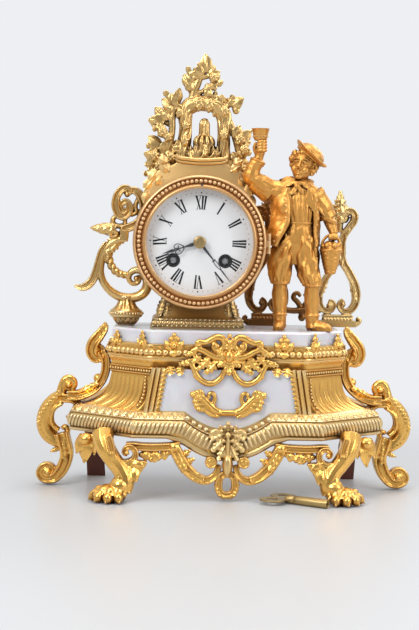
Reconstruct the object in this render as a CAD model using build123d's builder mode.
import os
from math import atan2, cos, degrees, hypot, pi, radians, sin, sqrt, tan

from build123d import *

os.makedirs("parts", exist_ok=True)

# A gilt mantel clock: a canted base on paw feet, an alabaster slab, a drum case with a vine crest,
# a standing figure with a goblet, two open scrolls, and a round eight-day movement that strikes.
# Millimetres, +Z up, front towards -Y, origin on the floor under the middle of the slab.

# Heights of the base, from the floor up
leg_height = 47.0
band_height = 18.0
shell_height = 42.0
slab_thickness = 22.0

# Plan of the slab: straight front, canted corners, straight sides
slab_front_half = 60.0
slab_side_half = 90.5
slab_front_y = -48.0
slab_corner_y = -18.0
slab_back_y = 48.0
slab_edge = 1.5

# Gilt rail round the slab's lower half, with its cartouche
rail_height = 10.5
rail_width = 4.0
cartouche_y = -55.2

# Flared shell between the band and the slab
shell_wall = 4.0
shell_ledge = 1.5
deck_thickness = 3.0
flare_front_half = 15.0
flare_side_half = 29.0
flare_front = 4.0

# Lower band, with the dip in the middle of the front
band_front_half = 79.0
band_side_half = 125.0
band_front_y = -64.0
band_corner_y = -20.0
band_back_y = 46.0
band_bulge = 3.0
band_wall = 8.0
crescent_half = 45.0
crescent_drop = 11.5

# Alabaster panel in the front window
panel_top_half = 48.2
panel_bottom_half = 53.7
panel_rise = 34.5
panel_front_y = -52.0
panel_thickness = 7.0
dip_half = 32.7
dip_depth = 12.0

# Feet and the fretted apron
leg_radius = 7.0
paw_y = -66.0
apron_y = -59.0
apron_bar = 2.6
rear_leg_width = 15.0
rear_leg_plate = 3.0

# Side scrolls
side_scroll_bar = 3.6
side_scroll_rib = 5.2
foot_volute_radius = 8.0
foot_volute_width = 11.0

# Studs that hold the upper pieces to the deck
stud_radius = 2.0
stud_depth = 6.0
stud_tail = 9.0
nut_width = 7.0
nut_height = 3.2

# Drum, pedestal and crest
dial_x = -24.0
dial_height = 67.5
drum_radius = 48.5
drum_bore = 45.5
drum_front_y = -41.0
drum_back_y = 31.0
pedestal_half = 37.0
pedestal_neck_half = 25.0
pedestal_depth_half = 32.0
pedestal_plinth = 8.0
shoulder_rise = 66.0
shoulder_front_y = -18.0
shoulder_back_y = 18.0
crest_y = -3.0
crest_bar = 3.6

# Open scrolls beside the drum and behind the figure
urn_x = -81.6
left_scroll_y = 5.0
left_scroll_bar = 3.0
trellis_x = 64.0
trellis_y = 35.0
trellis_bar = 2.7
trellis_stud_reach = 20.0

# Figure
figure_x = 56.0
figure_y = -20.0
hem_height = 62.0
neck_height = 117.0
sleeve_reach = 13.0

# Dial, bezel and hands
dial_radius = 43.5
dial_thickness = 1.5
pan_radius = 46.5
pan_thickness = 1.0
winding_hole = 5.0
center_hole = 3.2
bezel_radius = 51.2
bezel_sight = 40.7
bezel_skirt = 48.0
bezel_depth = 11.4
glass_thickness = 1.0
glass_radius = 42.3
minute_length = 38.4
hour_length = 30.0
hand_thickness = 0.8
hour_boss = 4.2
hour_blade = 2.4
hour_point = 8.0
minute_boss = 3.4
minute_blade = 2.2
minute_point = 6.0
collet_radius = 4.4
collet_thickness = 1.0
shown_hour = 8
shown_minute = 23.5

# Movement frame
plate_radius = 41.0
plate_thickness = 2.0
plate_gap = 28.0
front_plate_y = -34.0
pillar_radius = 2.6
pillar_places = [(0.0, -36.5), (37.0, 6.0), (-37.0, 6.0), (24.0, 29.0), (-24.0, 29.0)]
dial_foot_places = [(30.0, 18.0), (-30.0, 18.0), (0.0, -30.0)]
dial_foot_radius = 1.5

# Trains: teeth, leaves and modules
barrel_across = 20.0
barrel_drop = 14.0
barrel_teeth = 70
barrel_leaves = 14
barrel_module = 0.5
barrel_radius = 15.8
barrel_length = 16.0
barrel_wall = 1.4
second_teeth = 60
second_leaves = 12
second_module = 0.4
center_teeth = 80
center_leaves = 8
center_module = 0.3
third_teeth = 80
third_leaves = 8
third_module = 0.26
escape_teeth = 48
escape_radius = 8.0
escape_rise = 23.0
pallet_rise = 32.0
cannon_leaves = 12
minute_teeth = 36
motion_module = 0.5
minute_leaves = 10
hour_teeth = 40
strike_teeth = 45
fly_leaves = 10
strike_module = 0.4
ratchet_teeth = 20
ratchet_radius = 7.0
ratchet_thickness = 1.4
ratchet_shift = 0.6
click_length = 9.0
click_width = 3.2
click_gap = 0.4

# Arbors and fits
barrel_arbor = 2.4
winding_square = 3.3
train_arbor = 1.2
train_pivot = 0.7
center_arbor = 1.0
cannon_pipe = 1.55
hour_pipe = 2.5
running_fit = 0.05
seat_gap = 0.2

# Pendulum, bell and hammer
pendulum_length = 140.0
pendulum_y = 9.2
rod_radius = 1.1
bob_radius = 14.0
bob_thickness = 7.0
slot_width = 30.0
slot_depth = 13.0
bell_radius = 21.0
bell_wall = 1.5
bell_place = (12.0, -10.0)
bell_front_y = 15.5
hammer_place = (-27.0, 8.0)

# Rear door and hinges
door_radius = 46.0
door_thickness = 2.0
hinge_pin = 0.8
hinge_knuckle = 1.7
knuckle_length = 5.0

# Winding key
key_length = 34.0
key_radius = 3.4
key_wing = 9.0
key_plate = 2.0

# Levels and centres that follow from the sizes above
band_top = leg_height + band_height
slab_bottom = band_top + shell_height
slab_top = slab_bottom + slab_thickness
dial_z = slab_top + dial_height
back_plate_y = front_plate_y + plate_thickness + plate_gap
front_inner_y = front_plate_y + plate_thickness
dial_front_y = drum_front_y - pan_thickness - dial_thickness
window_gap = 0.3


def facing(y, x=0.0, z=0.0, turn=0.0):
    # upright plane seen from the front, with its own origin at x, z, turned anticlockwise
    return Plane(origin=(x, y, z), x_dir=(cos(radians(turn)), 0, sin(radians(turn))), z_dir=(0, -1, 0))


def plan_points(front_half, side_half, front_y, corner_y, back_y, grow=0.0, open_back=0.0):
    # canted outline of the base, grown outwards by one width
    ease = grow * tan(radians(22.5))
    side = side_half + grow
    front = front_half + ease
    right = [(front, front_y - grow), (side, corner_y - ease), (side, back_y + open_back)]
    left = [(-x, y) for x, y in reversed(right)]
    return left + right


def slab_plan(grow=0.0, open_back=0.0):
    return plan_points(
        slab_front_half, slab_side_half, slab_front_y, slab_corner_y, slab_back_y, grow, open_back
    )


def bend_radii(points):
    # largest arcs that leave a short straight run between neighbouring bends
    radii = []
    for before, corner, after in zip(points, points[1:], points[2:]):
        run_in = Vector(*corner) - Vector(*before)
        run_out = Vector(*after) - Vector(*corner)
        half_turn = radians(run_in.get_angle(run_out)) / 2
        radii.append(0.45 * min(run_in.length, run_out.length) / tan(half_turn))
    return radii


def ball(center, radius):
    with BuildPart() as piece:
        with Locations(center):
            Sphere(radius)
    return piece.part


def bar(points, radius):
    # round bar along tangent arcs, with ball ends
    with BuildPart() as piece:
        with BuildLine() as path:
            FilletPolyline(*points, radius=bend_radii(points))
        with BuildSketch(Plane(origin=path.line @ 0, z_dir=path.line % 0)):
            Circle(radius)
        sweep(path=path.line)
        with Locations(points[0], points[-1]):
            Sphere(radius)
    return piece.part


def flat_bar(points, y, radius):
    # the same bar with its points given as x, z in one upright plane
    return bar([(x, y, z) for x, z in points], radius)


def spun(origin, along, profile):
    # solid of revolution about any axis, from distance along it and radius
    across = Vector(0, 1, 0).cross(along)
    if across.length < 0.2:
        across = Vector(1, 0, 0)
    with BuildPart() as piece:
        with BuildSketch(Plane(origin=origin, x_dir=along, z_dir=across)):
            Polygon(*profile, align=None)
        revolve(axis=Axis(origin, along))
    return piece.part


def leaf(root, tip, width):
    # plump leaf from its root to its tip
    reach = Vector(*tip) - Vector(*root)
    long = reach.length
    profile = [(0, 0), (0, 0.12), (0.2, 0.42), (0.42, 0.5), (0.72, 0.36), (1, 0.06), (1, 0)]
    return spun(root, reach.normalized(), [(long * along, width * out) for along, out in profile])


def flat_leaf(root, tip, y, width):
    return leaf((root[0], y, root[1]), (tip[0], y, tip[1]), width)


def limb(points, radii):
    # round tapering limb with a ball at every joint
    with BuildPart() as piece:
        for start, end, first, last in zip(points, points[1:], radii, radii[1:]):
            run = (Vector(*end) - Vector(*start)).normalized()
            with BuildSketch(Plane(origin=start, z_dir=run)):
                Circle(first)
            with BuildSketch(Plane(origin=end, z_dir=run)):
                Circle(last)
            loft(ruled=True)
        for place, radius in zip(points, radii):
            with Locations(place):
                Sphere(radius)
    return piece.part


def turned(points, x, z):
    # solid of revolution about a front-to-back axis, from radius and depth
    with BuildPart() as piece:
        with BuildSketch(Plane(origin=(x, 0, z), x_dir=(1, 0, 0), z_dir=(0, 0, 1))):
            Polygon(*points, align=None)
        revolve(axis=Axis((x, 0, z), (0, 1, 0)))
    return piece.part


def upright(points, x, y):
    # solid of revolution about a vertical axis, from radius and height
    with BuildPart() as piece:
        with BuildSketch(Plane(origin=(x, y, 0), x_dir=(1, 0, 0), z_dir=(0, -1, 0))):
            Polygon(*points, align=None)
        revolve(axis=Axis((x, y, 0), (0, 0, 1)))
    return piece.part


def stepped(place, steps):
    # arbor with shoulders: each step is its radius, front end and back end
    profile = [(0.0, steps[0][1])]
    for radius, front, back in steps:
        profile += [(radius, front), (radius, back)]
    profile.append((0.0, steps[-1][2]))
    return turned(profile, dial_x + place[0], dial_z + place[1])


def toothed(place, y, thickness, teeth, module, phase, bore, is_pinion=False):
    # wheel or pinion with its first tooth at the given angle
    pitch = module * teeth / 2
    arc = pi * module
    root = pitch - (1.4 if is_pinion else 1.15) * module
    tip = pitch + (0.45 if is_pinion else 0.9) * module
    foot_half = (0.14 if is_pinion else 0.18) * arc
    pitch_half = (0.15 if is_pinion else 0.18) * arc
    tip_half = (0.08 if is_pinion else 0.07) * arc
    base = root - 0.2 * module
    outline = [
        (0, -foot_half),
        (pitch - base, -pitch_half),
        (tip - base, -tip_half),
        (tip - base, tip_half),
        (pitch - base, pitch_half),
        (0, foot_half),
    ]
    with BuildPart() as piece:
        with BuildSketch(facing(y, dial_x + place[0], dial_z + place[1])):
            Circle(root)
            with PolarLocations(base, teeth, start_angle=phase):
                Polygon(*outline, align=None)
            if bore > 0:
                Circle(bore, mode=Mode.SUBTRACT)
        extrude(amount=thickness)
    return piece.part


def toward(start, end):
    return degrees(atan2(end[1] - start[1], end[0] - start[0]))


def facing_gap(start, end, leaves):
    # angle that puts a gap of the second wheel opposite a tooth of the first
    return toward(start, end) + 180 + 180 / leaves


def mesh_reach(teeth, leaves, module):
    return module * (teeth + leaves) / 2


def meet(first, first_reach, second, second_reach, side):
    # where two circles cross, on the chosen side of the line between their centres
    across = (second[0] - first[0], second[1] - first[1])
    apart = hypot(*across)
    along = (first_reach**2 - second_reach**2 + apart**2) / (2 * apart)
    off = side * sqrt(first_reach**2 - along**2)
    unit = (across[0] / apart, across[1] / apart)
    return (
        first[0] + along * unit[0] - off * unit[1],
        first[1] + along * unit[1] + off * unit[0],
    )


def drilled(places, radius):
    # bores of one size through a plate, in the sketch that is open
    for x, z in places:
        with Locations((x, z)):
            Circle(radius, mode=Mode.SUBTRACT)


def mirrored(part):
    return mirror(part, about=Plane.YZ, mode=Mode.PRIVATE)


# Arbor places, seen from the front, from the middle of the dial
center_place = (0.0, 0.0)
going_place = (barrel_across, -barrel_drop)
strike_place = (-barrel_across, -barrel_drop)
second_place = meet(
    going_place,
    mesh_reach(barrel_teeth, barrel_leaves, barrel_module),
    center_place,
    mesh_reach(second_teeth, second_leaves, second_module),
    -1,
)
escape_place = (0.0, escape_rise)
third_place = meet(
    center_place,
    mesh_reach(center_teeth, center_leaves, center_module),
    escape_place,
    mesh_reach(third_teeth, third_leaves, third_module),
    1,
)
pallet_place = (0.0, pallet_rise)
motion_reach = mesh_reach(minute_teeth, cannon_leaves, motion_module)
minute_place = (0.0, motion_reach)
hour_module = 2 * motion_reach / (hour_teeth + minute_leaves)
warning_angle = 85.0
warning_reach = mesh_reach(barrel_teeth, barrel_leaves, barrel_module)
warning_place = (
    strike_place[0] + warning_reach * cos(radians(warning_angle)),
    strike_place[1] + warning_reach * sin(radians(warning_angle)),
)
fly_angle = 120.0
fly_reach = mesh_reach(strike_teeth, fly_leaves, strike_module)
fly_place = (
    warning_place[0] + fly_reach * cos(radians(fly_angle)),
    warning_place[1] + fly_reach * sin(radians(fly_angle)),
)
pivot_places = [second_place, third_place, escape_place, warning_place, fly_place]

# Places of the studs on the deck: pedestal, figure's boots, urn and trellis feet
stud_places = [
    (dial_x - pedestal_half + 9.0, 0.0),
    (dial_x + pedestal_half - 9.0, 0.0),
    (figure_x - 16.4, figure_y),
    (figure_x + 9.0, figure_y - 2.0),
    (urn_x, left_scroll_y),
    (trellis_x - trellis_stud_reach, trellis_y),
    (trellis_x + trellis_stud_reach, trellis_y),
]

# Alabaster slab with the pendulum slot and the stud holes
with BuildPart() as alabaster_top:
    with BuildSketch(Plane.XY.offset(slab_bottom)):
        Polygon(*slab_plan(), align=None)
    extrude(amount=slab_thickness)
    chamfer(alabaster_top.faces().sort_by(Axis.Z)[-1].edges(), slab_edge)
    with BuildSketch(Plane.XY.offset(slab_bottom)):
        with Locations((dial_x, pendulum_y)):
            Rectangle(slot_width, slot_depth)
        with Locations(*stud_places):
            Circle(stud_radius + running_fit)
    extrude(amount=slab_thickness, mode=Mode.SUBTRACT)
alabaster_top.part.label = "alabaster_top"
export_step(alabaster_top.part, "parts/alabaster_top.step")

# Shell levels as shares of its height and of its flare
flare_levels = [(1.0, 0.0), (0.74, 0.03), (0.5, 0.08), (0.3, 0.22), (0.15, 0.45), (0.05, 0.8), (0.0, 1.0)]


def shell_plan(flare, inset, open_back):
    return plan_points(
        slab_front_half + flare * flare_front_half,
        slab_side_half + flare * flare_side_half,
        slab_front_y - flare * flare_front,
        slab_corner_y - flare * flare_front / 2,
        slab_back_y - 2.0,
        shell_ledge - inset,
        open_back,
    )


def window_outline(gap):
    half_top = panel_top_half + gap
    half_bottom = panel_bottom_half + gap
    rise = band_top + panel_rise + gap
    return [(-half_bottom, band_top), (half_bottom, band_top), (half_top, rise), (-half_top, rise)]


with BuildPart() as base_shell:
    for share, flare in flare_levels:
        with BuildSketch(Plane.XY.offset(band_top + share * shell_height)):
            Polygon(*shell_plan(flare, 0.0, 0.0), align=None)
    loft(ruled=True)
    for share, flare in flare_levels:
        with BuildSketch(Plane.XY.offset(band_top + share * (shell_height - deck_thickness))):
            Polygon(*shell_plan(flare, shell_wall, shell_wall), align=None)
    loft(ruled=True, mode=Mode.SUBTRACT)
    with BuildSketch(facing(0.0)):
        Polygon(*window_outline(window_gap), align=None)
    extrude(amount=-slab_front_y + 2 * shell_wall, mode=Mode.SUBTRACT)
    with BuildSketch(Plane.XY.offset(slab_bottom - deck_thickness)):
        with Locations((dial_x, pendulum_y)):
            Rectangle(slot_width, slot_depth)
        with Locations(*stud_places):
            Circle(stud_radius + running_fit)
    extrude(amount=deck_thickness, mode=Mode.SUBTRACT)
base_shell.part.label = "base_shell"
export_step(base_shell.part, "parts/base_shell.step")


def band_plan(inset):
    return plan_points(
        band_front_half, band_side_half, band_front_y, band_corner_y, band_back_y, -inset
    )


# Lower band: bulging ring open at the back, a dip for the panel and a crescent under it
band_inner_front = slab_front_y - 2.0
corner_share = 0.6
corner_leaf_x = band_front_half + corner_share * (band_side_half - band_front_half)
corner_leaf_y = band_front_y + corner_share * (band_corner_y - band_front_y) + band_wall
corner_leaves = [
    leaf((side * corner_leaf_x, corner_leaf_y, leg_height + 3.0),
         (side * corner_leaf_x, corner_leaf_y, leg_height * 0.52), 10.0)
    for side in (-1, 1)
]
with BuildPart() as lower_band:
    for share, inset in ((0.0, band_bulge), (0.3, 0.0), (0.75, 0.0), (1.0, band_bulge)):
        with BuildSketch(Plane.XY.offset(leg_height + share * band_height)):
            Polygon(*band_plan(inset), align=None)
    loft(ruled=True)
    with BuildSketch(facing(band_front_y + 10.0)):
        with BuildLine():
            low = ThreePointArc(
                (-crescent_half, leg_height),
                (0, leg_height - crescent_drop),
                (crescent_half, leg_height),
            )
            Polyline(low @ 1, (crescent_half, leg_height + 4), (-crescent_half, leg_height + 4), low @ 0)
        make_face()
    extrude(amount=10.0 - band_bulge / 2)
    with BuildSketch(Plane.XY.offset(leg_height - crescent_drop)):
        Polygon(
            *plan_points(
                slab_front_half + 12.0,
                band_side_half - band_wall,
                band_inner_front,
                slab_corner_y + 1.0,
                band_back_y + band_wall,
            ),
            align=None,
        )
    extrude(amount=band_height + crescent_drop, mode=Mode.SUBTRACT)
    with BuildSketch(facing(0.0)):
        with BuildLine():
            dip = ThreePointArc(
                (-dip_half - window_gap, band_top),
                (0, band_top - dip_depth - window_gap),
                (dip_half + window_gap, band_top),
            )
            Line(dip @ 1, dip @ 0)
        make_face()
    extrude(amount=-band_front_y, mode=Mode.SUBTRACT)
    add(corner_leaves)
lower_band.part.label = "lower_band"
export_step(lower_band.part, "parts/lower_band.step")

# Alabaster panel, standing on the band and dipping into it
with BuildPart() as alabaster_panel:
    with BuildSketch(facing(panel_front_y + panel_thickness)):
        with BuildLine():
            sag = ThreePointArc(
                (-dip_half, band_top + seat_gap),
                (0, band_top - dip_depth + seat_gap),
                (dip_half, band_top + seat_gap),
            )
            Polyline(
                sag @ 1,
                (panel_bottom_half, band_top + seat_gap),
                (panel_top_half, band_top + panel_rise),
                (-panel_top_half, band_top + panel_rise),
                (-panel_bottom_half, band_top + seat_gap),
                sag @ 0,
            )
        make_face()
    extrude(amount=panel_thickness)
alabaster_panel.part.label = "alabaster_panel"
export_step(alabaster_panel.part, "parts/alabaster_panel.step")

# Leaf garland on the panel
festoon_bar = 2.2
festoon_y = panel_front_y - festoon_bar - seat_gap
festoon_z = band_top
festoon_right = [(29.6, 18.0), (19.4, 13.5), (12.0, 4.5), (0.0, 0.5)]
festoon_points = [(-x, z) for x, z in festoon_right] + festoon_right[-2::-1]
festoon_leaves = [((10, 3), (22, 4)), ((14, 8), (25, 10)), ((18, 12), (29, 12)), ((5, 1), (11, -2))]
festoon_pieces = [flat_bar([(x, festoon_z + z) for x, z in festoon_points], festoon_y, festoon_bar)]
for root, tip in festoon_leaves:
    for side in (-1, 1):
        festoon_pieces.append(
            flat_leaf((side * root[0], festoon_z + root[1]), (side * tip[0], festoon_z + tip[1]),
                      festoon_y, 2 * festoon_bar)
        )
with BuildPart() as panel_festoon:
    add(festoon_pieces)
panel_festoon.part.label = "panel_festoon"
export_step(panel_festoon.part, "parts/panel_festoon.step")

# Rail round the slab with leaf tips, and the cartouche in the middle of its front
rail_mid_y = slab_front_y - seat_gap - rail_width / 2
cant_slope = (slab_corner_y - slab_front_y) / (slab_side_half - slab_front_half)
rail_leaves = []
for x in (42.0, 66.0, 85.0):
    back = max(0.0, x - slab_front_half - 1.0) * cant_slope
    for side in (-1, 1):
        rail_leaves.append(
            leaf((side * x, rail_mid_y + back - 1.0, slab_bottom + 2.0),
                 (side * x, rail_mid_y + back - 1.0, slab_bottom + 19.0), 8.0)
        )
cartouche_upper = [(0, -2), (12, 0), (22, 6), (22, 13), (14, 16)]
cartouche_lower = [(0, -5), (8, -11), (16, -16), (23, -11), (27, -3), (31, 2)]
cartouche_pieces = []
for side in (-1, 1):
    for points in (cartouche_upper, cartouche_lower):
        shifted = [(side * x, slab_bottom + z) for x, z in points]
        cartouche_pieces.append(flat_bar(shifted, cartouche_y, 2.4))
cartouche_pieces.append(leaf((0, cartouche_y, slab_bottom - 9), (0, cartouche_y, slab_top), 14.0))
with BuildPart() as top_rail:
    with BuildSketch(Plane.XY.offset(slab_bottom)):
        Polygon(*slab_plan(rail_width + seat_gap, 0.0), align=None)
        Polygon(*slab_plan(seat_gap, 1.0), align=None, mode=Mode.SUBTRACT)
    extrude(amount=rail_height)
    add(rail_leaves)
    add(cartouche_pieces)
    with Locations((0, (slab_front_y + cartouche_y) / 2, slab_bottom + rail_height / 2)):
        Box(24, slab_front_y - cartouche_y, rail_height)
    add(alabaster_top.part, mode=Mode.SUBTRACT)
    add(base_shell.part, mode=Mode.SUBTRACT)
    add(alabaster_panel.part, mode=Mode.SUBTRACT)
top_rail.part.label = "top_rail"
export_step(top_rail.part, "parts/top_rail.step")

# Paw feet: a curved leg under the band and a broad paw with four toes
leg_route = [(-93, -54, 1.08), (-88, -59, 0.76), (-79, -63, 0.55), (-75, -64, 0.33), (-79, -65, 0.17)]
leg_points = [(x, y, share * leg_height) for x, y, share in leg_route]
paw_heart = (-86.0, paw_y)
paw_pieces = [bar(leg_points, leg_radius), leaf((-68, paw_y + 7, 6.5), (-107, paw_y - 9, 5.0), 17.0)]
for angle in (185, 215, 245, 272):
    toe = (paw_heart[0] + 13.5 * cos(radians(angle)), paw_heart[1] + 10.5 * sin(radians(angle)), 4.4)
    paw_pieces.append(limb([(paw_heart[0], paw_heart[1], 7.0), toe], [6.0, 4.8]))
with BuildPart() as paw_foot_left:
    add(paw_pieces)
    split(bisect_by=Plane.XY.offset(leg_height), keep=Keep.BOTTOM)
    split(bisect_by=Plane.XY, keep=Keep.TOP)
    add(lower_band.part, mode=Mode.SUBTRACT)
with BuildPart() as paw_foot_right:
    add(mirrored(paw_foot_left.part))
for foot, name in ((paw_foot_left, "paw_foot_left"), (paw_foot_right, "paw_foot_right")):
    foot.part.label = name
    export_step(foot.part, f"parts/{name}.step")

# Fretted apron between the feet: a bar with volutes, deep scrolls and a pendant
apron_low = leg_height - crescent_drop
apron_pieces = [leaf((0, apron_y - 1, apron_low + 5), (0, apron_y - 1, 9), 13.0)]
pendant_line = [(0, 22), (8, 15), (5, 5), (0, 3), (-5, 5), (-8, 15)]
apron_pieces.append(flat_bar(pendant_line, apron_y, 2.0))
for side in (-1, 1):
    rail_line = [(33, 41), (52, 41.0), (68, 40.2), (74, 36), (71, 31)]
    deep_line = [(34, 40), (33, 28), (27, 19), (17, 13.8), (9, 19), (9, 29)]
    for points in (rail_line, deep_line):
        apron_pieces.append(flat_bar([(side * x, z) for x, z in points], apron_y, apron_bar))
    apron_pieces.append(ball((side * 12, apron_y, 30.5), 4.6))
    for x in (47.5, 58.5):
        apron_pieces.append(flat_leaf((side * x, 41), (side * x, 29), apron_y, 8.0))
with BuildPart() as front_apron:
    add(apron_pieces)
    split(bisect_by=Plane.XY, keep=Keep.TOP)
    add(lower_band.part, mode=Mode.SUBTRACT)
    add(paw_foot_left.part, mode=Mode.SUBTRACT)
    add(paw_foot_right.part, mode=Mode.SUBTRACT)
front_apron.part.label = "front_apron"
export_step(front_apron.part, "parts/front_apron.step")

# Side scrolls from the floor to the slab, drawn outwards from the band
side_arm = [(-21, 103), (-27.5, 97), (-28.5, 88), (-23, 80), (-15, 75), (-6, 74)]
side_curve = [(-4, 77), (8, 74), (17, 65), (21.3, 52), (18.5, 41), (11, 35), (4, 33)]
side_leg = [(0, 44), (2.5, 34), (0.5, 24), (4, 14), (12, 8)]


def outward(points):
    return [(-(band_side_half + out), z) for out, z in points]


side_pieces = [
    flat_bar(outward(side_arm), 0.0, side_scroll_bar),
    flat_bar(outward(side_curve), 0.0, side_scroll_rib),
    flat_bar(outward(side_leg), 0.0, side_scroll_bar + 0.6),
    ball((-band_side_half, 0, 81.2), 6.5),
    ball((-band_side_half + 20.2, 0, 108), 5.2),
    leaf((-band_side_half + 18, 0, 100), (-band_side_half + 25.5, 0, slab_top + 1.5), 11.0),
]
with BuildPart() as side_scroll_left:
    add(side_pieces)
    volute_z = foot_volute_radius - 0.4
    with BuildSketch(facing(foot_volute_width / 2, -band_side_half - 16.0, volute_z)):
        Circle(foot_volute_radius)
    extrude(amount=foot_volute_width)
    split(bisect_by=Plane.XY, keep=Keep.TOP)
    add(lower_band.part, mode=Mode.SUBTRACT)
    add(base_shell.part, mode=Mode.SUBTRACT)
with BuildPart() as side_scroll_right:
    add(mirrored(side_scroll_left.part))
for scroll, name in ((side_scroll_left, "side_scroll_left"), (side_scroll_right, "side_scroll_right")):
    scroll.part.label = name
    export_step(scroll.part, f"parts/{name}.step")

# Plain rear legs of sheet, set against the inside of the band's ends
rear_top = leg_height + band_height * 0.7
rear_outer = band_side_half - band_wall - seat_gap
rear_outline = [
    (rear_outer - 20, 0),
    (rear_outer - 20 + rear_leg_width, 0),
    (rear_outer - 3, leg_height * 0.7),
    (rear_outer, leg_height),
    (rear_outer, rear_top),
    (rear_outer - rear_leg_width + 3, rear_top),
    (rear_outer - rear_leg_width - 3, leg_height * 0.6),
]
with BuildPart() as rear_legs:
    for side in (-1, 1):
        with BuildSketch(facing(band_back_y - seat_gap)):
            Polygon(*[(side * x, z) for x, z in rear_outline], align=None)
        extrude(amount=rear_leg_plate)
rear_legs.part.label = "rear_legs"
export_step(rear_legs.part, "parts/rear_legs.step")

# Studs through the slab and deck, and their square nuts
with BuildPart() as deck_studs:
    for x, y in stud_places:
        with BuildSketch(Plane((x, y, slab_bottom - deck_thickness - stud_tail))):
            Circle(stud_radius)
        extrude(amount=stud_tail + deck_thickness + slab_thickness + stud_depth - 1.0)
deck_studs.part.label = "deck_studs"
export_step(deck_studs.part, "parts/deck_studs.step")

with BuildPart() as stud_nuts:
    for x, y in stud_places:
        with BuildSketch(Plane((x, y, slab_bottom - deck_thickness - nut_height))):
            Rectangle(nut_width, nut_width)
            Circle(stud_radius + running_fit, mode=Mode.SUBTRACT)
        extrude(amount=nut_height)
stud_nuts.part.label = "stud_nuts"
export_step(stud_nuts.part, "parts/stud_nuts.step")

# Drum case: bored cylinder, shoulders for the crest, pendulum slot and rear hinge lugs
shoulder_outline = [
    (-40, 26), (-43, 40), (-38, shoulder_rise - 14), (-24, shoulder_rise - 6), (-15, shoulder_rise),
    (17, shoulder_rise), (25, shoulder_rise - 6), (36, shoulder_rise - 14), (40, 38), (38, 26),
]
drum_length = drum_back_y - drum_front_y
door_hinge_x = dial_x - drum_bore - 1.6
door_hinge_y = drum_back_y + hinge_knuckle + 0.3
hinge_shift = knuckle_length + seat_gap
with BuildPart() as drum_case:
    with BuildSketch(facing(drum_back_y, dial_x, dial_z)):
        Circle(drum_radius)
    extrude(amount=drum_length)
    with BuildSketch(facing(shoulder_back_y, dial_x, dial_z)):
        Polygon(*shoulder_outline, align=None)
    extrude(amount=shoulder_back_y - shoulder_front_y)
    with BuildSketch(facing(drum_back_y, dial_x, dial_z)):
        Circle(drum_bore)
    extrude(amount=drum_length, mode=Mode.SUBTRACT)
    with BuildSketch(Plane.XY.offset(slab_top)):
        with Locations((dial_x, pendulum_y)):
            Rectangle(slot_width, slot_depth)
    extrude(amount=dial_height - drum_bore / 2, mode=Mode.SUBTRACT)
    for shift in (-hinge_shift, hinge_shift):
        with Locations((door_hinge_x, door_hinge_y, dial_z + shift)):
            Cylinder(hinge_knuckle, knuckle_length)
        with Locations((door_hinge_x, (drum_back_y + door_hinge_y) / 2 - 0.5, dial_z + shift)):
            Box(hinge_knuckle * 1.6, door_hinge_y - drum_back_y + 1.0, knuckle_length)
    with Locations((door_hinge_x, door_hinge_y, dial_z)):
        Cylinder(hinge_pin, 2 * knuckle_length)
drum_case.part.label = "drum_case"
export_step(drum_case.part, "parts/drum_case.step")

# Pedestal under the drum: plinth, cavetto and saddle
pedestal_y = (drum_front_y + drum_back_y) / 2
pedestal_levels = [
    (0.0, pedestal_half, pedestal_depth_half),
    (pedestal_plinth, pedestal_half - 2.5, pedestal_depth_half - 1.5),
    (pedestal_plinth + 3.0, pedestal_half - 8.5, pedestal_depth_half - 4.0),
    (pedestal_plinth + 8.0, pedestal_neck_half + 1.5, pedestal_depth_half - 6.0),
    (dial_height - drum_radius + 3.0, pedestal_neck_half, pedestal_depth_half - 7.0),
    (dial_height - drum_radius * 0.72, pedestal_neck_half, pedestal_depth_half - 7.0),
]
with BuildPart() as drum_pedestal:
    for rise, half, depth_half in pedestal_levels:
        with BuildSketch(Plane((dial_x, pedestal_y, slab_top + rise))):
            Rectangle(2 * half, 2 * depth_half)
    loft(ruled=True)
    with BuildSketch(facing(drum_back_y, dial_x, dial_z)):
        Circle(drum_radius)
    extrude(amount=drum_length, mode=Mode.SUBTRACT)
    with BuildSketch(Plane.XY.offset(slab_top)):
        with Locations((dial_x, pendulum_y)):
            Rectangle(slot_width, slot_depth)
    extrude(amount=dial_height, mode=Mode.SUBTRACT)
    with BuildSketch(Plane.XY.offset(slab_top)):
        with Locations(*stud_places[:2]):
            Circle(stud_radius + running_fit)
    extrude(amount=stud_depth, mode=Mode.SUBTRACT)
drum_pedestal.part.label = "drum_pedestal"
export_step(drum_pedestal.part, "parts/drum_pedestal.step")

# Vine crest: an arch of two trunks, side vines, a bouquet on top and leaves all along
crest_z = dial_z + shoulder_rise
crest_arch = [(-13, -5), (-13.5, 20), (-9, 36), (3, 43), (15, 36), (19.5, 20), (19, -5)]
crest_left = [(-21, -8), (-26, 6), (-34, 18), (-36, 33), (-29, 43)]
crest_right = [(31, -14), (33, 8), (27, 22), (24, 34), (28, 43)]
crest_stem = [(3, 42), (0, 56), (2, 68)]
crest_leaves = [
    ((2, 64), (2, 83), 10), ((2, 65), (-9, 77), 8), ((2, 65), (13, 73), 8), ((0, 54), (-15, 68), 9),
    ((2, 54), (17, 61), 9), ((1, 46), (-12, 54), 9), ((6, 45), (18, 52), 9), ((-27, 42), (-31, 50), 9),
    ((-32, 40), (-40, 47), 8), ((-28, 42), (-19, 49), 8), ((-35, 30), (-43, 31), 9),
    ((-35, 22), (-27, 30), 8), ((-33, 16), (-44, 15), 10), ((-27, 6), (-45, 3), 11),
    ((-22, -2), (-42, -10), 11), ((-12, 8), (-31, 14), 8), ((-12, 28), (-34, 38), 8),
    ((27, 40), (34, 50), 9), ((26, 38), (19, 46), 8), ((25, 32), (33, 37), 8), ((27, 24), (35, 27), 8),
    ((31, 14), (38, 18), 8), ((33, 4), (41, 2), 9), ((19, 12), (33, 13), 7), ((17, 30), (28, 30), 7),
]


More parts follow.
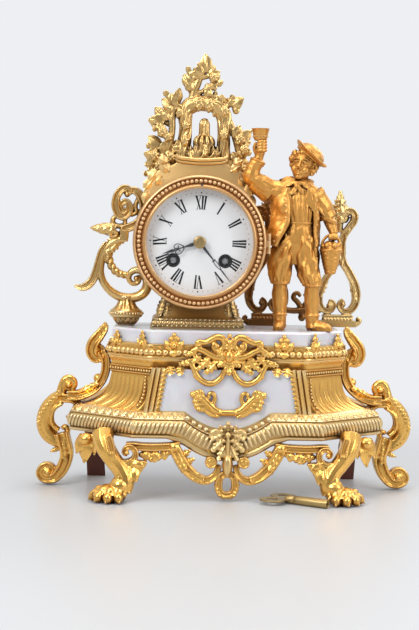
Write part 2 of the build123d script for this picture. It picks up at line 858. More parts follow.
def above_drum(point):
    return (dial_x + point[0], crest_z + point[1])


crest_pieces = [
    flat_bar([above_drum(p) for p in crest_arch], crest_y, crest_bar),
    flat_bar([above_drum(p) for p in crest_left], crest_y, crest_bar - 0.6),
    flat_bar([above_drum(p) for p in crest_right], crest_y, crest_bar - 0.8),
    flat_bar([above_drum(p) for p in crest_stem], crest_y, crest_bar - 0.8),
]
for root, tip, width in crest_leaves:
    crest_pieces.append(flat_leaf(above_drum(root), above_drum(tip), crest_y, width))
with BuildPart() as vine_crest:
    add(crest_pieces)
    add(drum_case.part, mode=Mode.SUBTRACT)
vine_crest.part.label = "vine_crest"
export_step(vine_crest.part, "parts/vine_crest.step")

# Turned finial under the arch
finial_profile = [
    (0, 0), (10, 0), (10, 3), (8.5, 6), (8.8, 9), (8, 13), (4.4, 18), (4.4, 28), (3.2, 31), (0, 32.5),
]
finial_x = dial_x + 3.0
crest_finial_part = upright([(r, crest_z + z) for r, z in finial_profile], finial_x, crest_y)
with BuildPart() as crest_finial:
    add(crest_finial_part)
    add(vine_crest.part, mode=Mode.SUBTRACT)
crest_finial.part.label = "crest_finial"
export_step(crest_finial.part, "parts/crest_finial.step")

# Left scroll standing on its urn
urn_profile = [
    (0, 0), (6.5, 0), (6.5, 2.5), (5, 4), (9, 7), (12.8, 11), (9, 15), (6.5, 18), (5.5, 22), (0, 22),
]
left_main = [
    (10, 46), (16, 37), (11, 26), (0, 20.5), (-13, 24), (-22, 33), (-24, 44), (-22, 53), (-16, 62), (-9, 69),
]
left_inner = [(-17, 59), (-11, 48), (-4, 43), (4, 41)]
left_tail = [(-21, 45), (-27, 36), (-32.5, 30), (-40, 30.6)]
left_loop = [
    (-10, 68), (0, 74), (6, 81), (10.5, 92), (8, 103), (1, 109), (-7, 109), (-12.5, 102),
    (-12.8, 92), (-8, 86), (-2, 88), (-2, 96),
]


def on_urn(point):
    return (urn_x + point[0], slab_top + point[1])


left_pieces = [
    upright([(r, slab_top + z) for r, z in urn_profile], urn_x, left_scroll_y),
    flat_bar([on_urn(p) for p in left_main], left_scroll_y, left_scroll_bar),
    flat_bar([on_urn(p) for p in left_inner], left_scroll_y, left_scroll_bar - 0.5),
    flat_bar([on_urn(p) for p in left_tail], left_scroll_y, left_scroll_bar - 1.0),
    flat_bar([on_urn(p) for p in left_loop], left_scroll_y, left_scroll_bar - 0.4),
    ball((urn_x + 5, left_scroll_y, slab_top + 41), 4.8),
    flat_leaf(on_urn((-8, 73)), on_urn((-31, 78)), left_scroll_y, 10.0),
    flat_leaf(on_urn((-14, 66)), on_urn((0, 73)), left_scroll_y, 8.0),
]
with BuildPart() as left_scroll:
    add(left_pieces)
    with BuildSketch(Plane((urn_x, left_scroll_y, slab_top))):
        Circle(stud_radius + running_fit)
    extrude(amount=stud_depth, mode=Mode.SUBTRACT)
left_scroll.part.label = "left_scroll"
export_step(left_scroll.part, "parts/left_scroll.step")

# Trellis behind the figure: two mirrored arms with pine finials, joined by a low bar
trellis_arm = [
    (31, 90), (36, 96), (42, 93), (40, 86), (33, 78), (31, 66), (33, 54), (40, 43), (44.6, 31),
    (44.6, 19), (39, 12.5), (31, 12),
]
trellis_inner = [(32, 58), (22, 45), (16, 34), (14, 22), (20, 12)]


def on_trellis(point, side):
    return (trellis_x + side * point[0], slab_top + point[1])


trellis_pieces = []
for side in (-1, 1):
    trellis_pieces += [
        flat_bar([on_trellis(p, side) for p in trellis_arm], trellis_y, trellis_bar),
        flat_bar([on_trellis(p, side) for p in trellis_inner], trellis_y, trellis_bar - 0.4),
        ball((trellis_x + side * 23, trellis_y, slab_top + 19), 4.4),
        ball((trellis_x + side * 33, trellis_y, slab_top + 19), 4.4),
        ball((trellis_x + side * 4.5, trellis_y, slab_top + 18), 4.2),
        flat_leaf(on_trellis((29.5, 88), side), on_trellis((29.5, 113), side), trellis_y, 14.0),
        flat_leaf(on_trellis((32, 9), side), on_trellis((47, 2), side), trellis_y, 7.0),
    ]
trellis_pieces.append(flat_leaf(on_trellis((0, 15), 1), on_trellis((0, 4), 1), trellis_y, 7.0))
with BuildPart() as right_trellis:
    add(trellis_pieces)
    with Locations((trellis_x, trellis_y, slab_top + 12.5)):
        Box(64, 2 * trellis_bar, 5)
    for side in (-1, 1):
        with Locations((trellis_x + side * 27, trellis_y, slab_top + 9)):
            Box(34, 11, 5)
        with Locations((trellis_x + side * trellis_stud_reach, trellis_y, slab_top + 4)):
            Box(16, 9, 8)
    split(bisect_by=Plane.XY.offset(slab_top), keep=Keep.TOP)
    with BuildSketch(Plane.XY.offset(slab_top)):
        with Locations(*stud_places[5:]):
            Circle(stud_radius + running_fit)
    extrude(amount=stud_depth, mode=Mode.SUBTRACT)
right_trellis.part.label = "right_trellis"
export_step(right_trellis.part, "parts/right_trellis.step")


def on_figure(x, y, z):
    return (figure_x + x, figure_y + y, slab_top + z)


# Figure: breeches and boots, cut off level under the coat
left_leg = [(-16.4, 0, 7), (-15.7, 1, 23), (-15, 0, 35.5), (-11.5, 0, 52), (-8, 0, 66)]
right_leg = [(8, -1, 7), (8.5, 0, 23), (9, -3, 35.5), (8, -1, 52), (5, 0, 66)]
leg_pieces = [
    limb([on_figure(*p) for p in left_leg], [5.2, 6.3, 6.6, 9.0, 11.0]),
    limb([on_figure(*p) for p in right_leg], [5.2, 6.3, 6.8, 9.2, 11.0]),
    limb([on_figure(-16.2, 1, 5), on_figure(-17.2, -8, 4)], [6.2, 5.2]),
    limb([on_figure(9, 0, 5), on_figure(21, -7, 4)], [6.0, 4.8]),
]
with BuildPart() as figure_legs:
    add(leg_pieces)
    split(bisect_by=Plane.XY.offset(slab_top), keep=Keep.TOP)
    split(bisect_by=Plane.XY.offset(slab_top + hem_height), keep=Keep.BOTTOM)
    with BuildSketch(Plane.XY.offset(slab_top)):
        with Locations(*stud_places[2:4]):
            Circle(stud_radius + running_fit)
    extrude(amount=stud_depth, mode=Mode.SUBTRACT)
figure_legs.part.label = "figure_legs"
export_step(figure_legs.part, "parts/figure_legs.step")

# Coat and shoulders, trimmed flat for the arms and the neck
coat_levels = [
    (hem_height, -4.5, 20.0, 13.5), (68, -4.0, 18.0, 13.0), (78, -1.0, 14.5, 10.5), (85, 0.3, 12.6, 9.8),
    (96, -1.5, 14.5, 10.5), (106, -3.0, 17.5, 10.0), (112, -3.0, 14.0, 8.5), (neck_height, -1.0, 7.0, 6.5),
]
coat_left_x = figure_x - sleeve_reach - 4.0
coat_right_x = figure_x + sleeve_reach - 1.0
with BuildPart() as figure_coat:
    for rise, shift, half_width, half_depth in coat_levels:
        with BuildSketch(Plane((figure_x + shift, figure_y, slab_top + rise))):
            Ellipse(half_width, half_depth)
    loft(ruled=True)
    with Locations((coat_left_x - 10, figure_y, slab_top + 106)):
        Box(20, 40, 24, mode=Mode.SUBTRACT)
    with Locations((coat_right_x + 10, figure_y, slab_top + 106)):
        Box(20, 40, 24, mode=Mode.SUBTRACT)
figure_coat.part.label = "figure_coat"
export_step(figure_coat.part, "parts/figure_coat.step")

# Head with curls and a round cap worn at a slant
cap_tilt = 34.0
cap_center = on_figure(5.5, 1.5, 139.0)
cap_normal = Vector(sin(radians(cap_tilt)), 0.2, cos(radians(cap_tilt))).normalized()
cap_profile = [(0, 0), (0, 13.5), (1.8, 13.5), (2.4, 10.6), (6.5, 9.8), (9, 6), (9.8, 0)]
head_pieces = [
    limb([on_figure(-0.5, 0, neck_height - 4), on_figure(0.5, -0.5, 124)], [5.2, 5.0]),
    limb([on_figure(0.5, -2.5, 126.5), on_figure(1.2, -0.5, 134)], [8.0, 10.6]),
    ball(on_figure(-6.5, 2.5, 130), 5.6),
    ball(on_figure(9.0, 2.5, 130), 5.6),
    spun(cap_center, cap_normal, cap_profile),
]
with BuildPart() as figure_head:
    add(head_pieces)
    split(bisect_by=Plane.XY.offset(slab_top + neck_height), keep=Keep.TOP)
figure_head.part.label = "figure_head"
export_step(figure_head.part, "parts/figure_head.step")

# Goblet held up by the raised hand
goblet_base = 143.0
goblet_profile = [
    (0, 0), (4.2, 0), (4.2, 1.2), (1.6, 3), (1.6, 4.5), (6, 7), (7.4, 13.5), (6.3, 13.5), (5.0, 7.8),
    (0, 7.4),
]
goblet_x = figure_x - 34.0
goblet_y = figure_y - 6.0
goblet_part = upright([(r, slab_top + goblet_base + z) for r, z in goblet_profile], goblet_x, goblet_y)
with BuildPart() as goblet:
    add(goblet_part)
goblet.part.label = "goblet"
export_step(goblet.part, "parts/goblet.step")

raised_points = [
    (-sleeve_reach - 1, 0, 106), (-22, -1, 110), (-41.5, -5, 118), (-37.5, -6, 134), (-34, -6, 139.5),
]
raised_limb = limb([on_figure(*p) for p in raised_points], [7.0, 7.4, 6.0, 4.0, 4.4])
with BuildPart() as raised_arm:
    add(raised_limb)
    split(bisect_by=Plane.XY.offset(slab_top + goblet_base), keep=Keep.BOTTOM)
    split(bisect_by=Plane.YZ.offset(coat_left_x), keep=Keep.BOTTOM)
raised_arm.part.label = "raised_arm"
export_step(raised_arm.part, "parts/raised_arm.step")

# Covered basket hanging from the lowered hand
basket_x = figure_x + 23.6
basket_y = figure_y - 4.0
basket_low = 48.0
basket_profile = [(0, 0), (6.3, 0), (8.6, 18), (8.6, 20), (7.6, 20), (4, 22), (0, 22.5)]
basket_part = upright([(r, slab_top + basket_low + z) for r, z in basket_profile], basket_x, basket_y)
handle_points = [(-7.6, 18), (-7, 25), (0, 29), (7, 25), (7.6, 18)]
handle_part = flat_bar(
    [(basket_x + x, slab_top + basket_low + z) for x, z in handle_points], basket_y, 1.2
)
with BuildPart() as basket:
    add([basket_part, handle_part])
    add(figure_coat.part, mode=Mode.SUBTRACT)
    add(figure_legs.part, mode=Mode.SUBTRACT)
basket.part.label = "basket"
export_step(basket.part, "parts/basket.step")

lowered_points = [(sleeve_reach - 3, 0, 103), (14.5, 0, 102), (22.4, 2, 84), (25, -3, 77)]
lowered_limb = limb([on_figure(*p) for p in lowered_points], [6.5, 6.5, 5.4, 4.2])
with BuildPart() as lowered_arm:
    add(lowered_limb)
    split(bisect_by=Plane.YZ.offset(coat_right_x), keep=Keep.TOP)
    add(figure_coat.part, mode=Mode.SUBTRACT)
    add(basket.part, mode=Mode.SUBTRACT)
lowered_arm.part.label = "lowered_arm"
export_step(lowered_arm.part, "parts/lowered_arm.step")

# Dial pan with three feet, and the enamel dial on it
winding_places = [going_place, strike_place]
with BuildPart() as dial_pan:
    with BuildSketch(facing(drum_front_y, dial_x, dial_z)):
        Circle(pan_radius)
        Circle(center_hole, mode=Mode.SUBTRACT)
        drilled(winding_places, winding_hole)
    extrude(amount=pan_thickness)
    with BuildSketch(facing(front_plate_y, dial_x, dial_z)):
        with Locations(*dial_foot_places):
            Circle(dial_foot_radius)
    extrude(amount=front_plate_y - drum_front_y)
dial_pan.part.label = "dial_pan"
export_step(dial_pan.part, "parts/dial_pan.step")

with BuildPart() as dial_plate:
    with BuildSketch(facing(drum_front_y - pan_thickness, dial_x, dial_z)):
        Circle(dial_radius)
        Circle(center_hole, mode=Mode.SUBTRACT)
        drilled(winding_places, winding_hole)
    extrude(amount=dial_thickness)
dial_plate.part.label = "dial_plate"
export_step(dial_plate.part, "parts/dial_plate.step")

# Bezel: stepped ring with a seat for the glass, hinged on the right
bezel_back_y = drum_front_y - 0.3
bezel_front_y = bezel_back_y - bezel_depth
glass_y = bezel_front_y + 1.4
bezel_profile = [
    (bezel_sight, bezel_front_y + 0.6),
    (bezel_sight + 2.0, bezel_front_y + 0.2),
    (bezel_sight + 4.5, bezel_front_y),
    (bezel_sight + 8.0, bezel_front_y + 1.6),
    (bezel_radius, bezel_front_y + 5.0),
    (bezel_radius, bezel_back_y),
    (bezel_skirt, bezel_back_y),
    (bezel_skirt, bezel_back_y - 3.4),
    (glass_radius + seat_gap, bezel_back_y - 3.4),
    (glass_radius + seat_gap, glass_y - 0.1),
    (bezel_sight, glass_y - 0.1),
]
bezel_ring = turned(bezel_profile, dial_x, dial_z)
bezel_hinge_x = dial_x + bezel_radius + hinge_knuckle + 0.25
bezel_hinge_y = drum_front_y - 0.5
with BuildPart() as bezel:
    add(bezel_ring)
    with Locations((bezel_hinge_x, bezel_hinge_y, dial_z)):
        Cylinder(hinge_knuckle, knuckle_length)
    with Locations((bezel_hinge_x - 1.6, bezel_hinge_y - 1.1, dial_z)):
        Box(3.2, 1.1, knuckle_length)
    with Locations((bezel_hinge_x, bezel_hinge_y, dial_z)):
        Cylinder(hinge_pin + running_fit, knuckle_length, mode=Mode.SUBTRACT)
bezel.part.label = "bezel"
export_step(bezel.part, "parts/bezel.step")

with BuildPart() as bezel_glass:
    with BuildSketch(facing(glass_y + glass_thickness, dial_x, dial_z)):
        Circle(glass_radius)
    extrude(amount=glass_thickness)
bezel_glass.part.label = "bezel_glass"
export_step(bezel_glass.part, "parts/bezel_glass.step")

# Hinge of the bezel: two knuckles on lugs from the drum's side, and the pin
lug_width = bezel_hinge_x - dial_x - drum_radius + 2.0
with BuildPart() as bezel_hinge:
    for shift in (-hinge_shift, hinge_shift):
        with Locations((bezel_hinge_x, bezel_hinge_y, dial_z + shift)):
            Cylinder(hinge_knuckle, knuckle_length)
        with Locations((bezel_hinge_x - lug_width / 2, drum_front_y + 2.1, dial_z + shift)):
            Box(lug_width, 3.6, knuckle_length)
        with Locations((bezel_hinge_x, bezel_hinge_y + 1.4, dial_z + shift)):
            Box(2 * hinge_knuckle, 2.4, knuckle_length)
    with Locations((bezel_hinge_x, bezel_hinge_y, dial_z)):
        Cylinder(hinge_pin, 2 * hinge_shift)
    add(drum_case.part, mode=Mode.SUBTRACT)
bezel_hinge.part.label = "bezel_hinge"
export_step(bezel_hinge.part, "parts/bezel_hinge.step")

# Hands, shown at one time, with the collet that holds them
minute_angle = 6 * shown_minute
hour_angle = 30 * (shown_hour + shown_minute / 60)
hour_hand_y = dial_front_y - 2.0
minute_hand_y = hour_hand_y - hand_thickness - 1.0
collet_y = minute_hand_y - hand_thickness


def blade(width, boss, length, point):
    # slim hand from its boss to its tip, narrowing to three quarters before the point
    low = boss * 0.7
    neck = 0.375 * width
    return [(-width / 2, low), (width / 2, low), (neck, length - point), (0, length), (-neck, length - point)]


with BuildPart() as hour_hand:
    with BuildSketch(facing(hour_hand_y, dial_x, dial_z, -hour_angle)):
        Circle(hour_boss)
        Polygon(*blade(hour_blade, hour_boss, hour_length, hour_point), align=None)
        with Locations((0, hour_length - hour_point - 2.0)):
            Ellipse(3.6, 5.0)
            Ellipse(2.4, 3.6, mode=Mode.SUBTRACT)
        Circle(hour_pipe + running_fit, mode=Mode.SUBTRACT)
    extrude(amount=hand_thickness)
hour_hand.part.label = "hour_hand"
export_step(hour_hand.part, "parts/hour_hand.step")

with BuildPart() as minute_hand:
    with BuildSketch(facing(minute_hand_y, dial_x, dial_z, -minute_angle)):
        Circle(minute_boss)
        Polygon(*blade(minute_blade, minute_boss, minute_length, minute_point), align=None)
        Circle(cannon_pipe + running_fit, mode=Mode.SUBTRACT)
    extrude(amount=hand_thickness)
minute_hand.part.label = "minute_hand"
export_step(minute_hand.part, "parts/minute_hand.step")

with BuildPart() as hand_collet:
    with BuildSketch(facing(collet_y, dial_x, dial_z)):
        Circle(collet_radius)
        Circle(center_arbor + running_fit, mode=Mode.SUBTRACT)
    extrude(amount=collet_thickness)
hand_collet.part.label = "hand_collet"
export_step(hand_collet.part, "parts/hand_collet.step")

# Movement plates with the bores for every arbor, studs for the wheels outside them, and ratchet clicks
minute_stud = 1.2
hammer_stud = 1.5
with BuildPart() as front_plate:
    with BuildSketch(facing(front_inner_y, dial_x, dial_z)):
        Circle(plate_radius)
        drilled(winding_places, barrel_arbor + running_fit)
        drilled(pivot_places, train_pivot + running_fit)
        drilled([pallet_place], train_pivot + running_fit)
        drilled([center_place], center_arbor + running_fit)
    extrude(amount=plate_thickness)
    with BuildSketch(facing(front_plate_y, dial_x + minute_place[0], dial_z + minute_place[1])):
        Circle(minute_stud)
    extrude(amount=5.6)
    with BuildSketch(facing(front_plate_y, dial_x, dial_z)):
        for x, z in winding_places:
            with Locations((x, z - ratchet_radius - click_gap - click_width / 2)):
                Rectangle(click_length, click_width)
    extrude(amount=ratchet_shift + ratchet_thickness)
front_plate.part.label = "front_plate"
export_step(front_plate.part, "parts/front_plate.step")

back_outer_y = back_plate_y + plate_thickness
hammer_y = bell_front_y + 1.5
with BuildPart() as back_plate:
    with BuildSketch(facing(back_outer_y, dial_x, dial_z)):
        Circle(plate_radius)
        drilled(winding_places, barrel_arbor + running_fit)
        drilled(pivot_places, train_pivot + running_fit)
        drilled([pallet_place], center_arbor + running_fit)
        drilled([center_place], center_arbor + running_fit)
    extrude(amount=plate_thickness)
    with BuildSketch(facing(hammer_y + 4.0, dial_x + hammer_place[0], dial_z + hammer_place[1])):
        Circle(hammer_stud)
    extrude(amount=hammer_y + 4.0 - back_outer_y)
back_plate.part.label = "back_plate"
export_step(back_plate.part, "parts/back_plate.step")

with BuildPart() as plate_pillars:
    with BuildSketch(facing(back_plate_y, dial_x, dial_z)):
        with Locations(*pillar_places):
            Circle(pillar_radius)
    extrude(amount=plate_gap)
plate_pillars.part.label = "plate_pillars"
export_step(plate_pillars.part, "parts/plate_pillars.step")

# Barrels with their great wheels, and the winding arbors with ratchets
great_wheel_y = front_inner_y + 20.0
barrel_front_y = great_wheel_y - 2.0 - barrel_length


def barrel(place, mate):
    x = dial_x + place[0]
    z = dial_z + place[1]
    bore = barrel_arbor + running_fit
    inner = barrel_radius - barrel_wall
    front = barrel_front_y
    back = great_wheel_y - 2.0
    shell = [
        (bore, front), (barrel_radius, front), (barrel_radius, back), (bore, back),
        (bore, back - barrel_wall), (inner, back - barrel_wall), (inner, front + barrel_wall),
        (bore, front + barrel_wall),
    ]
    wheel = toothed(place, great_wheel_y, 2.0, barrel_teeth, barrel_module, toward(place, mate), bore)
    return [turned(shell, x, z), wheel]


def winding_arbor(place):
    square_y = drum_front_y + 0.5
    back = back_outer_y + 1.0
    parts = [stepped(place, [(barrel_arbor, square_y, back)])]
    teeth = []
    for number in range(ratchet_teeth):
        angle = radians(360 * number / ratchet_teeth)
        low = radians(360 * (number + 0.9) / ratchet_teeth)
        teeth.append((ratchet_radius * cos(angle), ratchet_radius * sin(angle)))
        teeth.append(((ratchet_radius - 1.2) * cos(low), (ratchet_radius - 1.2) * sin(low)))
    with BuildPart() as ends:
        with BuildSketch(facing(front_plate_y - ratchet_shift, dial_x + place[0], dial_z + place[1])):
            Polygon(*teeth, align=None)
        extrude(amount=ratchet_thickness)
        with BuildSketch(facing(square_y, dial_x + place[0], dial_z + place[1])):
            Rectangle(winding_square, winding_square)
        extrude(amount=dial_thickness + pan_thickness + 2.0)
    return parts + [ends.part]


going_barrel_pieces = barrel(going_place, second_place)
strike_barrel_pieces = barrel(strike_place, warning_place)
going_arbor_pieces = winding_arbor(going_place)
strike_arbor_pieces = winding_arbor(strike_place)
with BuildPart() as going_barrel:
    add(going_barrel_pieces)
with BuildPart() as strike_barrel:
    add(strike_barrel_pieces)
with BuildPart() as going_arbor:
    add(going_arbor_pieces)
with BuildPart() as strike_arbor:
    add(strike_arbor_pieces)
for piece, name in (
    (going_barrel, "going_barrel"),
    (strike_barrel, "strike_barrel"),
    (going_arbor, "going_arbor"),
    (strike_arbor, "strike_arbor"),
):
    piece.part.label = name
    export_step(piece.part, f"parts/{name}.step")

# Depths of the train's wheels between the plates
second_wheel_y = front_inner_y + 24.5
center_wheel_y = front_inner_y + 27.2
third_wheel_y = front_inner_y + 13.0
escape_wheel_y = front_inner_y + 5.2
end_shake = 0.3


def train_steps():
    front = front_inner_y + end_shake
    back = back_plate_y - end_shake
    return [
        (train_pivot, front_plate_y, front),
        (train_arbor, front, back),
        (train_pivot, back, back_outer_y),
    ]


center_pieces = [
    stepped(center_place, [
        (center_arbor, collet_y - collet_thickness - 0.3, front_inner_y + end_shake),
        (center_arbor + 0.2, front_inner_y + end_shake, back_plate_y - end_shake),
        (center_arbor, back_plate_y - end_shake, back_outer_y),
    ]),
    toothed(center_place, second_wheel_y + 1.0, 3.5, second_leaves, second_module,
            facing_gap(second_place, center_place, second_leaves), 0, True),
    toothed(center_place, center_wheel_y, 1.2, center_teeth, center_module,
            toward(center_place, third_place), 0),
]
second_pieces = [
    stepped(second_place, train_steps()),
    toothed(second_place, great_wheel_y + 1.0, 4.0, barrel_leaves, barrel_module,
            facing_gap(going_place, second_place, barrel_leaves), 0, True),
    toothed(second_place, second_wheel_y, 1.5, second_teeth, second_module,
            toward(second_place, center_place), 0),
]
third_pieces = [
    stepped(third_place, [
        (train_pivot, front_plate_y, front_inner_y + end_shake),
        (train_pivot, front_inner_y + end_shake, back_plate_y - end_shake),
        (train_pivot, back_plate_y - end_shake, back_outer_y),
    ]),
    toothed(third_place, center_wheel_y + 0.5, 2.4, center_leaves, center_module,
            facing_gap(center_place, third_place, center_leaves), 0, True),
    toothed(third_place, third_wheel_y, 1.0, third_teeth, third_module, toward(third_place, escape_place), 0),
]
escape_teeth_points = []
for number in range(escape_teeth):
    angle = radians(360 * number / escape_teeth)
    low = radians(360 * (number + 0.7) / escape_teeth)
    escape_teeth_points.append((escape_radius * cos(angle), escape_radius * sin(angle)))
    escape_teeth_points.append(((escape_radius - 1.2) * cos(low), (escape_radius - 1.2) * sin(low)))
with BuildPart() as escape_rim:
    with BuildSketch(facing(escape_wheel_y, dial_x + escape_place[0], dial_z + escape_place[1])):
        Polygon(*escape_teeth_points, align=None)
    extrude(amount=1.2)
escape_pieces = [
    stepped(escape_place, [(train_pivot, front_plate_y, back_outer_y)]),
    toothed(escape_place, third_wheel_y + 1.0, 3.0, third_leaves, third_module,
            facing_gap(third_place, escape_place, third_leaves), 0, True),
    escape_rim.part,
]
warning_pieces = [
    stepped(warning_place, train_steps()),
    toothed(warning_place, great_wheel_y + 1.0, 4.0, barrel_leaves, barrel_module,
            facing_gap(strike_place, warning_place, barrel_leaves), 0, True),
    toothed(warning_place, second_wheel_y, 1.2, strike_teeth, strike_module,
            toward(warning_place, fly_place), 0),
]
fly_half = 6.2
with BuildPart() as fly_vane:
    with BuildSketch(facing(front_inner_y + 11.0, dial_x + fly_place[0], dial_z + fly_place[1])):
        Rectangle(2 * fly_half, 1.6)
        Circle(2.0)
    extrude(amount=8.0)
fly_pieces = [
    stepped(fly_place, train_steps()),
    toothed(fly_place, second_wheel_y + 1.0, 3.2, fly_leaves, strike_module,
            facing_gap(warning_place, fly_place, fly_leaves), 0, True),
    fly_vane.part,
]
with BuildPart() as center_wheel:
    add(center_pieces)
with BuildPart() as second_wheel:
    add(second_pieces)
with BuildPart() as third_wheel:
    add(third_pieces)
with BuildPart() as escape_wheel:
    add(escape_pieces)
with BuildPart() as strike_wheel:
    add(warning_pieces)
with BuildPart() as strike_fly:
    add(fly_pieces)
for piece, name in (
    (center_wheel, "center_wheel"),
    (second_wheel, "second_wheel"),
    (third_wheel, "third_wheel"),
    (escape_wheel, "escape_wheel"),
    (strike_wheel, "strike_wheel"),
    (strike_fly, "strike_fly"),
):
    piece.part.label = name
    export_step(piece.part, f"parts/{name}.step")

# Motion work under the dial: cannon pinion, minute wheel and hour wheel
motion_y = front_plate_y - 0.7
hour_wheel_y = motion_y - 3.1
cannon_tube = [
    (center_arbor + running_fit, collet_y),
    (cannon_pipe, collet_y),
    (cannon_pipe, motion_y),
    (center_arbor + running_fit, motion_y),
]
cannon_pieces = [
    turned(cannon_tube, dial_x, dial_z),
    toothed(center_place, motion_y, 1.6, cannon_leaves, motion_module,
            facing_gap(minute_place, center_place, cannon_leaves), center_arbor + running_fit, True),
]
hour_tube = [
    (cannon_pipe + running_fit, hour_hand_y - hand_thickness),
    (hour_pipe, hour_hand_y - hand_thickness),
    (hour_pipe, hour_wheel_y),
    (cannon_pipe + running_fit, hour_wheel_y),
]
hour_pieces = [
    turned(hour_tube, dial_x, dial_z),
    toothed(center_place, hour_wheel_y, 1.2, hour_teeth, hour_module, toward(center_place, minute_place),
            cannon_pipe + running_fit),
]
minute_pieces = [
    toothed(minute_place, motion_y, 1.2, minute_teeth, motion_module, toward(minute_place, center_place),
            minute_stud + running_fit),
    toothed(minute_place, motion_y - 1.2, 3.4, minute_leaves, hour_module,
            facing_gap(center_place, minute_place, minute_leaves), minute_stud + running_fit, True),
]
with BuildPart() as cannon_pinion:
    add(cannon_pieces)
with BuildPart() as hour_wheel:
    add(hour_pieces)
with BuildPart() as minute_wheel:
    add(minute_pieces)
for piece, name in (
    (cannon_pinion, "cannon_pinion"),
    (hour_wheel, "hour_wheel"),
    (minute_wheel, "minute_wheel"),
):
    piece.part.label = name
    export_step(piece.part, f"parts/{name}.step")

# Back cock that carries the pallet arbor's end and the pendulum
cock_y = back_outer_y + 7.0
cock_plate = 2.0
suspension_stud = 1.2
cock_half = 14.0
with BuildPart() as back_cock:
    with BuildSketch(facing(cock_y + cock_plate, dial_x, dial_z + pallet_rise)):
        Rectangle(2 * cock_half, 7.0)
    extrude(amount=cock_plate)
    with BuildSketch(facing(cock_y, dial_x, dial_z + pallet_rise)):
        with Locations((cock_half - 2.5, 0), (2.5 - cock_half, 0)):
            Circle(2.2)
    extrude(amount=cock_y - back_outer_y)
    with BuildSketch(facing(cock_y + 1.5, dial_x, dial_z + pallet_rise)):
        Circle(train_pivot + running_fit)
    extrude(amount=1.5, mode=Mode.SUBTRACT)
    with BuildSketch(facing(pendulum_y + 2.4, dial_x, dial_z + pallet_rise)):
        Circle(suspension_stud)
    extrude(amount=pendulum_y + 2.4 - cock_y - cock_plate)
back_cock.part.label = "back_cock"
export_step(back_cock.part, "parts/back_cock.step")

# Pallet anchor with its crutch, which ends in a fork round the pendulum rod
crutch_length = 26.0
crutch_y = back_outer_y + 2.2
fork_gap = rod_radius + 0.4
anchor_outline = [
    (0, 2.2), (4.2, 0.6), (8.2, -2.6), (7.4, -3.9), (5.6, -2.2), (3.0, -0.4),
    (-3.0, -0.4), (-5.6, -2.2), (-7.4, -3.9), (-8.2, -2.6), (-4.2, 0.6),
]
pallet_shaft = stepped(pallet_place, [
    (train_pivot, front_plate_y, front_inner_y + end_shake),
    (center_arbor, front_inner_y + end_shake, cock_y - end_shake),
    (train_pivot, cock_y - end_shake, cock_y + 1.2),
])
with BuildPart() as pallet_anchor:
    add(pallet_shaft)
    with BuildSketch(facing(escape_wheel_y, dial_x, dial_z + pallet_rise)):
        Polygon(*anchor_outline, align=None)
    extrude(amount=1.2)
    with BuildSketch(facing(crutch_y, dial_x, dial_z + pallet_rise)):
        Circle(2.4)
        with Locations((0, -crutch_length / 2)):
            Rectangle(1.8, crutch_length)
    extrude(amount=1.2)
    for side in (-1, 1):
        fork_x = dial_x + side * (fork_gap + 0.6)
        fork_z = dial_z + pallet_rise - crutch_length
        fork_back = pendulum_y + 1.6
        with Locations((fork_x, (crutch_y - 1.2 + fork_back) / 2, fork_z)):
            Box(1.2, fork_back - crutch_y + 1.2, 2.4)
    with Locations((dial_x, crutch_y - 0.6, dial_z + pallet_rise - crutch_length)):
        Box(2 * fork_gap + 2.4, 1.2, 2.4)
pallet_anchor.part.label = "pallet_anchor"
export_step(pallet_anchor.part, "parts/pallet_anchor.step")

# Pendulum: suspension block, spring, rod with rating nut, and the lens bob
bob_z = dial_z + pallet_rise - pendulum_length
block_thickness = 1.8
with BuildPart() as pendulum_rod:
    with BuildSketch(facing(pendulum_y + block_thickness / 2, dial_x, dial_z + pallet_rise)):
        Rectangle(7.0, 6.0)
        Circle(suspension_stud + running_fit, mode=Mode.SUBTRACT)
    extrude(amount=block_thickness)
    with Locations((dial_x, pendulum_y, dial_z + pallet_rise - 6.5)):
        Box(3.0, 0.6, 8.0)
    rod_top = dial_z + pallet_rise - 10.0
    rod_low = bob_z - bob_radius - 5.0
    with Locations((dial_x, pendulum_y, (rod_top + rod_low) / 2)):
        Cylinder(rod_radius, rod_top - rod_low)
    with Locations((dial_x, pendulum_y, bob_z - bob_radius - 2.2)):
        Cylinder(3.0, 3.0)
pendulum_rod.part.label = "pendulum_rod"
export_step(pendulum_rod.part, "parts/pendulum_rod.step")

bob_profile = [
    (0, pendulum_y - bob_thickness / 2),
    (bob_radius * 0.5, pendulum_y - bob_thickness / 2 + 0.5),
    (bob_radius, pendulum_y - 1.0),
    (bob_radius, pendulum_y + 1.0),
    (bob_radius * 0.5, pendulum_y + bob_thickness / 2 - 0.5),
    (0, pendulum_y + bob_thickness / 2),
]
bob_part = turned(bob_profile, dial_x, bob_z)
with BuildPart() as pendulum_bob:
    add(bob_part)
    with Locations((dial_x, pendulum_y, bob_z)):
        Cylinder(rod_radius + running_fit, 2 * bob_radius + 2, mode=Mode.SUBTRACT)
pendulum_bob.part.label = "pendulum_bob"
export_step(pendulum_bob.part, "parts/pendulum_bob.step")

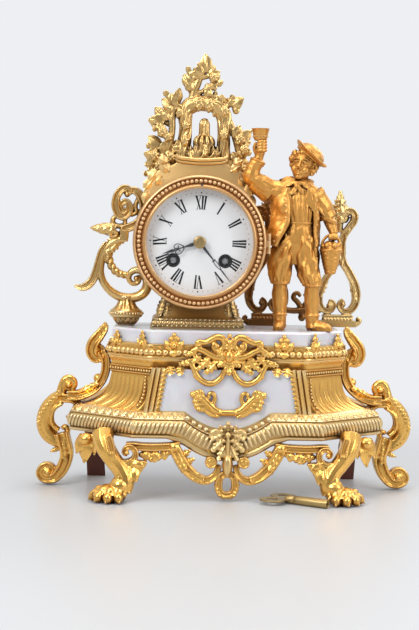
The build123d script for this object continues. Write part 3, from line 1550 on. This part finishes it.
# Bell on its stand, with the hammer beside its rim
bell_x = dial_x + bell_place[0]
bell_z = dial_z + bell_place[1]
bell_depth = 12.5
stand_radius = 1.8
bell_back_y = bell_front_y + bell_depth
bell_profile = [
    (bell_radius - bell_wall, bell_front_y),
    (bell_radius, bell_front_y),
    (bell_radius * 0.93, bell_front_y + bell_depth * 0.5),
    (bell_radius * 0.68, bell_front_y + bell_depth * 0.85),
    (bell_radius * 0.3, bell_back_y),
    (stand_radius + running_fit, bell_back_y),
    (stand_radius + running_fit, bell_back_y - bell_wall),
    (bell_radius * 0.3, bell_back_y - bell_wall),
    (bell_radius * 0.68 - bell_wall, bell_front_y + bell_depth * 0.85 - bell_wall),
    (bell_radius * 0.93 - bell_wall, bell_front_y + bell_depth * 0.5),
]
bell_part = turned(bell_profile, bell_x, bell_z)
with BuildPart() as bell:
    add(bell_part)
bell.part.label = "bell"
export_step(bell.part, "parts/bell.step")

stand_part = stepped(bell_place, [
    (4.0, back_outer_y, back_outer_y + 2.0),
    (2.6, back_outer_y + 2.0, bell_back_y - bell_wall),
    (stand_radius, bell_back_y - bell_wall, bell_back_y),
    (3.4, bell_back_y, bell_back_y + 1.8),
])
with BuildPart() as bell_stand:
    add(stand_part)
bell_stand.part.label = "bell_stand"
export_step(bell_stand.part, "parts/bell_stand.step")

hammer_head = (bell_place[0] - bell_radius - 5.2, bell_place[1] - 2.0)
hammer_shift = (hammer_head[0] - hammer_place[0], hammer_head[1] - hammer_place[1])
hammer_arm_length = hypot(*hammer_shift)
hammer_angle = toward(hammer_place, hammer_head)
with BuildPart() as strike_hammer:
    with BuildSketch(
        facing(hammer_y + 3.0, dial_x + hammer_place[0], dial_z + hammer_place[1], hammer_angle)
    ):
        Circle(3.2)
        with Locations((hammer_arm_length / 2, 0)):
            Rectangle(hammer_arm_length, 1.8)
        Circle(hammer_stud + running_fit, mode=Mode.SUBTRACT)
    extrude(amount=2.4)
    with BuildSketch(facing(hammer_y + 4.2, dial_x + hammer_head[0], dial_z + hammer_head[1])):
        Circle(3.4)
    extrude(amount=4.8)
strike_hammer.part.label = "strike_hammer"
export_step(strike_hammer.part, "parts/strike_hammer.step")

# Rear door hinged on the left, with a small pull
door_y = drum_back_y + 0.3
with BuildPart() as rear_door:
    with BuildSketch(facing(door_y + door_thickness, dial_x, dial_z)):
        Circle(door_radius)
        with Locations((door_hinge_x - dial_x, 0)):
            Rectangle(5.4, 3 * knuckle_length + 2.0, mode=Mode.SUBTRACT)
    extrude(amount=door_thickness)
    with Locations((door_hinge_x, door_hinge_y, dial_z)):
        Cylinder(hinge_knuckle, knuckle_length)
    with Locations((door_hinge_x + 2.0, door_y + door_thickness / 2, dial_z)):
        Box(4.0, door_thickness, knuckle_length)
    with Locations((door_hinge_x, door_hinge_y, dial_z)):
        Cylinder(hinge_pin + running_fit, knuckle_length, mode=Mode.SUBTRACT)
    with BuildSketch(facing(door_y + door_thickness + 5.0, dial_x + door_radius - 8.0, dial_z)):
        Circle(2.6)
    extrude(amount=5.0)
rear_door.part.label = "rear_door"
export_step(rear_door.part, "parts/rear_door.step")

# Winding key lying on the floor in front of the apron
key_start = (46.0, -64.0)
key_angle = -32.0
key_plane = Plane(
    origin=(key_start[0], key_start[1], key_radius),
    x_dir=(0, 0, 1),
    z_dir=(cos(radians(key_angle)), sin(radians(key_angle)), 0),
)
wing_plane = Plane(
    origin=(key_start[0], key_start[1], key_radius - key_plate / 2),
    x_dir=(cos(radians(key_angle)), sin(radians(key_angle)), 0),
    z_dir=(0, 0, 1),
)
with BuildPart() as winding_key:
    with BuildSketch(key_plane):
        Circle(key_radius)
    extrude(amount=key_length)
    with BuildSketch(key_plane.offset(key_length)):
        Rectangle(winding_square + 0.3, winding_square + 0.3)
    extrude(amount=-12.0, mode=Mode.SUBTRACT)
    with BuildSketch(wing_plane):
        with Locations((-key_wing * 0.9, key_wing), (-key_wing * 0.9, -key_wing)):
            Circle(key_wing)
            Circle(key_wing * 0.45, mode=Mode.SUBTRACT)
        with Locations((-key_wing * 0.35, 0)):
            Rectangle(key_wing * 1.5, key_wing)
    extrude(amount=key_plate)
winding_key.part.label = "winding_key"
export_step(winding_key.part, "parts/winding_key.step")
